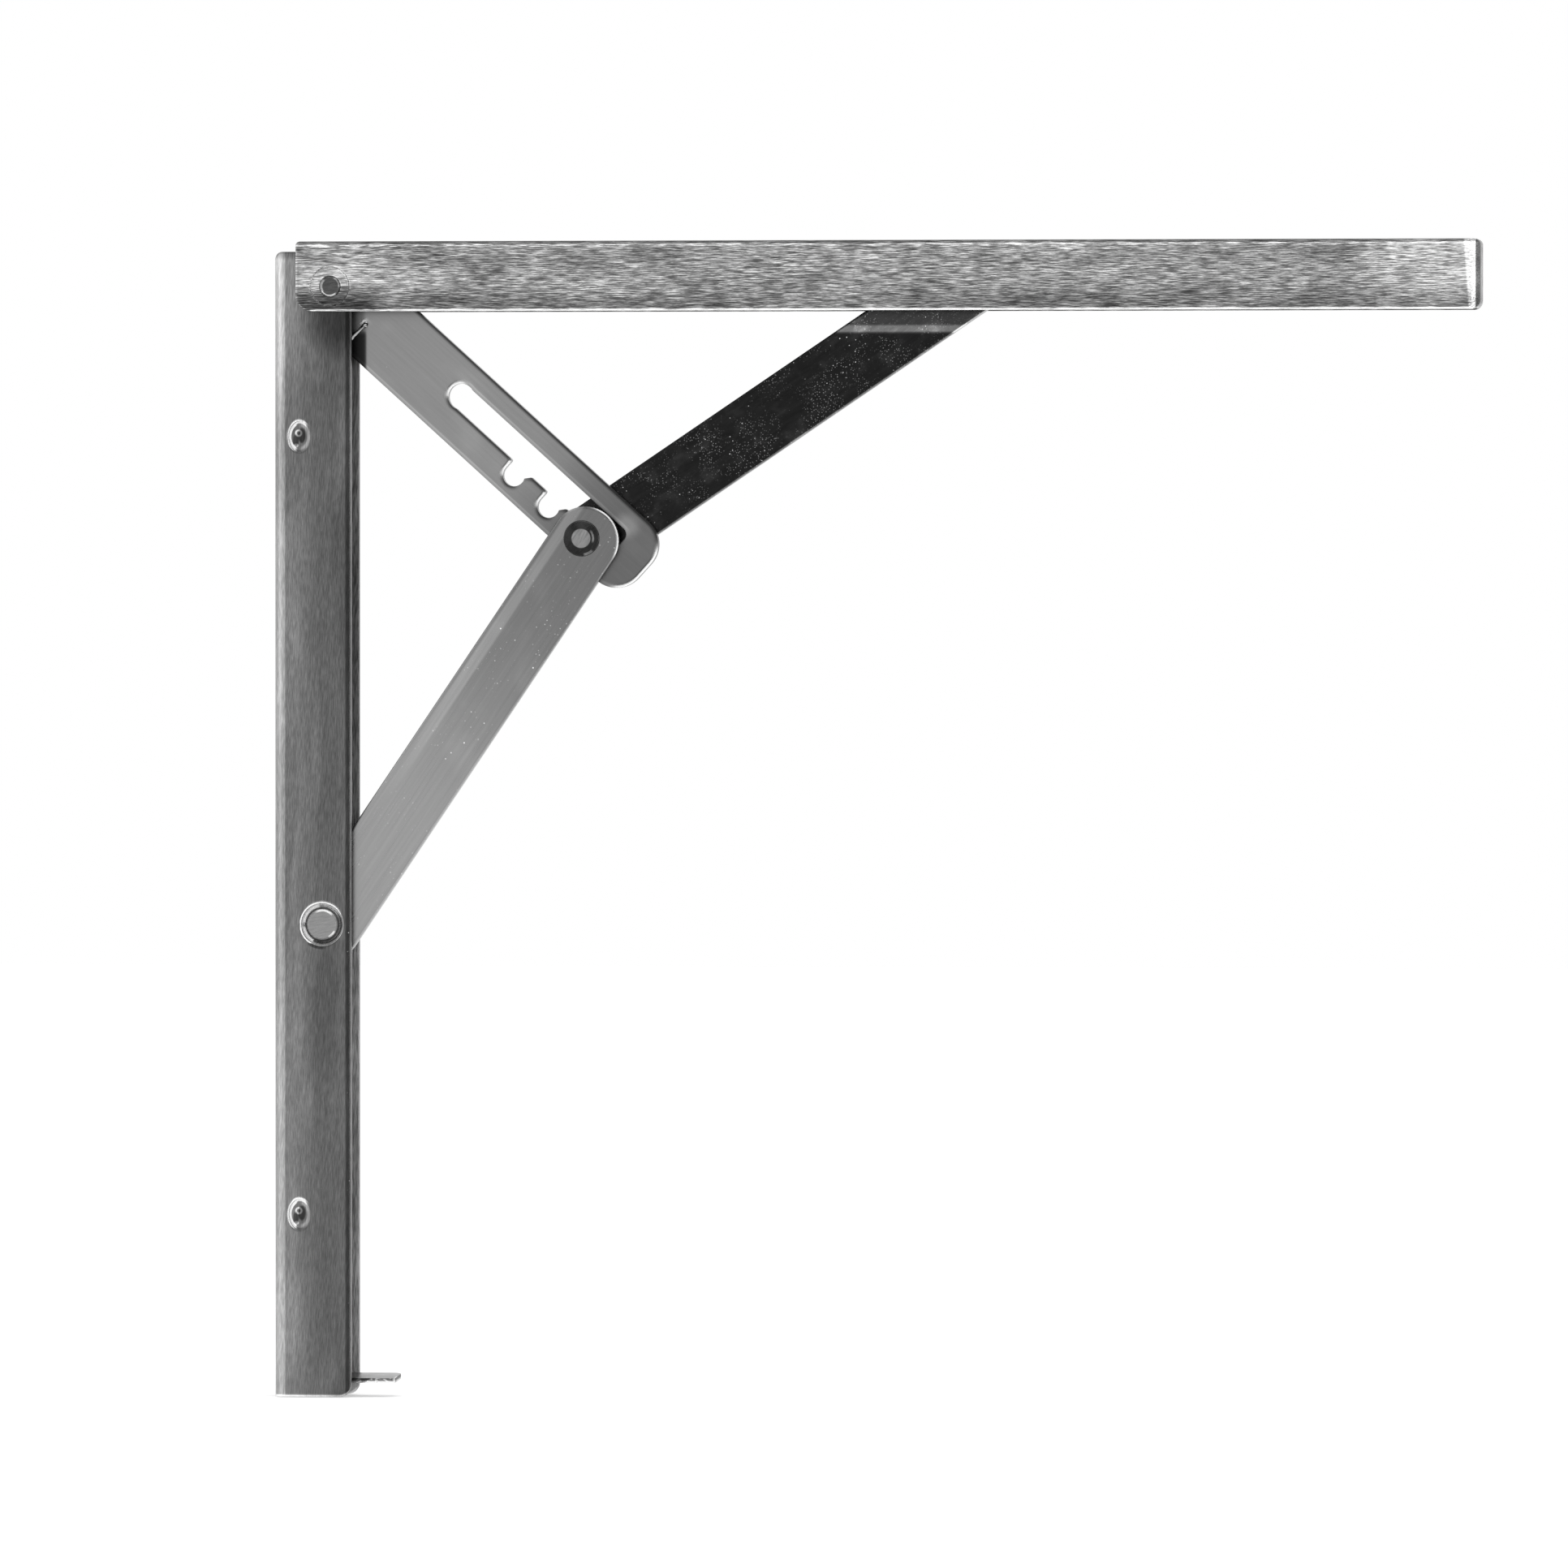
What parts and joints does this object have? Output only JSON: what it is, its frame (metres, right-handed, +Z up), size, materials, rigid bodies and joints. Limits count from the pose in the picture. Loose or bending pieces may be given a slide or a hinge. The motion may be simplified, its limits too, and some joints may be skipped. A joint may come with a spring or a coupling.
{
  "type": "folding shelf bracket",
  "caption": "Wall rail and shelf arm of folded steel, held square by a toggle of two flat struts that a notched, spring-loaded link locks; the arm folds down flat onto the rail.",
  "frame": {"origin": "on the wall face of the rail, level with the arm's pivot, on the rail's mid-plane", "axes": "+X out of the wall along the open arm, +Z up along the rail, +Y away from the viewer of the picture, along the pivots"},
  "size_m": [0.3058, 0.0179, 0.2926],
  "materials": {
    "rail_sheet": "brushed bright sheet, fine grain along its length",
    "arm_sheet": "brushed bright sheet, fine grain along its length",
    "lower_strut_bar": "smooth plated bar",
    "upper_strut_bar": "smooth, more polished plated bar",
    "link_bar": "smooth plated bar, punched edges bright",
    "rivets": "plated, turned and peened heads",
    "spring_wire": "bright drawn wire"
  },
  "bodies": {
    "rail": {"wall_rail": "rail_sheet", "arm_pivot_pin": "rivets", "near_pivot_bush": "rivets", "far_pivot_bush": "rivets", "lower_strut_rivet": "rivets"},
    "arm": {"support_arm": "arm_sheet", "upper_strut_rivet": "rivets"},
    "lower_strut": {"lower_strut": "lower_strut_bar", "toggle_rivet_front": "rivets"},
    "upper_strut": {"upper_strut": "upper_strut_bar", "toggle_rivet_back": "rivets"},
    "catch_link": {"slotted_link": "link_bar", "link_spring": "spring_wire"}
  },
  "joints": [
    {"name": "arm_fold", "type": "hinge", "parent": "rail", "child": "arm", "pos_m": [0.0145, 0, 0], "axis": [0, 1, 0], "range_deg": [0, 88.6]},
    {"name": "lower_strut_pivot", "type": "hinge", "parent": "rail", "child": "lower_strut", "pos_m": [0.0123, 0, -0.1615], "axis": [0, 1, 0], "range_deg": [-32.8, 0]},
    {"name": "upper_strut_pivot", "type": "hinge", "parent": "arm", "child": "upper_strut", "pos_m": [0.176, 0, 0.0022], "axis": [0, 1, 0], "range_deg": [0, 32.8]},
    {"name": "link_pivot", "type": "hinge", "parent": "rail", "child": "catch_link", "pos_m": [0.0145, 0, 0], "axis": [0, 1, 0], "range_deg": [0, 49]}
  ],
  "couplings": [
    {"joint": "lower_strut_pivot", "follows": "arm_fold", "ratio": -0.3688},
    {"joint": "upper_strut_pivot", "follows": "arm_fold", "ratio": 0.3688},
    {"joint": "link_pivot", "follows": "arm_fold", "ratio": 0.5509}
  ]
}
